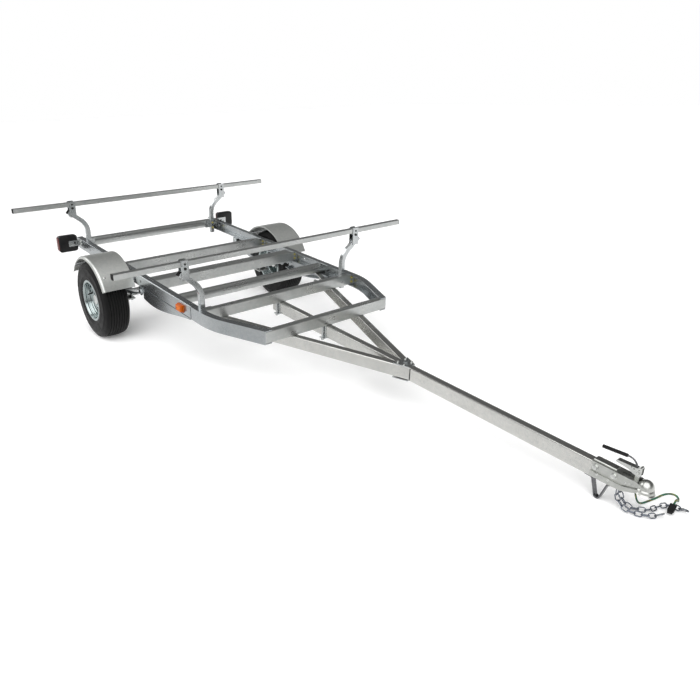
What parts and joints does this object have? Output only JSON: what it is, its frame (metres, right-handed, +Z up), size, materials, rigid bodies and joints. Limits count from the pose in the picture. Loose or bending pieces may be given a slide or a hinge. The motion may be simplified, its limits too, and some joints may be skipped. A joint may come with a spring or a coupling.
{
  "type": "boat trailer",
  "caption": "Flat galvanised two-wheel boat trailer with two cross load bars on bent uprights, A-frame tongue and ball coupler.",
  "frame": {"origin": "centre of the footprint, on the ground, with the trailer parked on its tyres and its front foot", "axes": "+X forward along the tongue, +Y to the trailer's left, +Z up"},
  "size_m": [4.1448, 1.981, 0.8041],
  "materials": {
    "galvanised_steel": "hot-dip galvanised steel with a soft grey mottle",
    "zinc_plate": "bright zinc plate",
    "cap_plastic": "black moulded plastic",
    "cable_jacket": "flexible cable jackets",
    "grip_vinyl": "black dipped vinyl",
    "chain_steel": "bluish zinc-plated chain",
    "amber_lens": "amber lens",
    "lamp_plastic": "black moulded lamp housing",
    "red_lens": "dark red lens",
    "plug_rubber": "black moulded rubber",
    "tyre_rubber": "black rubber with circumferential ribs"
  },
  "bodies": {
    "chassis": {"axle": "galvanised_steel", "axle_clamps": "galvanised_steel", "ball_clamp": "zinc_plate", "bar_caps": "cap_plastic", "coupler_body": "zinc_plate", "crossmember_axle": "galvanised_steel", "crossmember_front": "galvanised_steel", "crossmember_middle": "galvanised_steel", "crossmember_rear": "galvanised_steel", "crossmember_tongue": "galvanised_steel", "crossmember_wide": "galvanised_steel", "diagonal_left": "galvanised_steel", "diagonal_right": "galvanised_steel", "foot": "galvanised_steel", "front_rail_left": "galvanised_steel", "front_rail_right": "galvanised_steel", "gusset_left": "galvanised_steel", "gusset_right": "galvanised_steel", "harness": "cable_jacket", "joint_plates": "galvanised_steel", "lamp_brackets": "galvanised_steel", "leaf_spring_left": "galvanised_steel", "leaf_spring_right": "galvanised_steel", "load_bar_front": "galvanised_steel", "load_bar_rear": "galvanised_steel", "mudguard_brackets": "galvanised_steel", "mudguard_left": "galvanised_steel", "mudguard_right": "galvanised_steel", "rear_hangers": "galvanised_steel", "safety_chain_left": "chain_steel", "safety_chain_right": "chain_steel", "side_markers": "amber_lens", "side_rail_left": "galvanised_steel", "side_rail_right": "galvanised_steel", "tail_lamps": "lamp_plastic", "tail_lenses": "red_lens", "tongue": "galvanised_steel", "tongue_clamps": "galvanised_steel", "trailer_plug": "plug_rubber", "upright_front_left": "galvanised_steel", "upright_front_right": "galvanised_steel", "upright_plates": "galvanised_steel", "upright_rear_left": "galvanised_steel", "upright_rear_right": "galvanised_steel"},
    "wheel_left": {"hub_left": "galvanised_steel", "rim_left": "galvanised_steel", "tyre_left": "tyre_rubber"},
    "wheel_right": {"hub_right": "galvanised_steel", "rim_right": "galvanised_steel", "tyre_right": "tyre_rubber"},
    "latch": {"latch_lever": "zinc_plate", "latch_handle": "zinc_plate", "latch_grip": "grip_vinyl"}
  },
  "joints": [
    {"name": "wheel_left_spin", "type": "hinge", "parent": "chassis", "child": "wheel_left", "pos_m": [-1.3356, 0.692, 0.252], "axis": [0, 1, 0], "continuous": true},
    {"name": "wheel_right_spin", "type": "hinge", "parent": "chassis", "child": "wheel_right", "pos_m": [-1.3356, -0.692, 0.252], "axis": [0, 1, 0], "continuous": true},
    {"name": "latch_lift", "type": "hinge", "parent": "chassis", "child": "latch", "pos_m": [1.93047, 0, 0.17816], "axis": [0, 1, 0], "range_deg": [0, 50]}
  ]
}
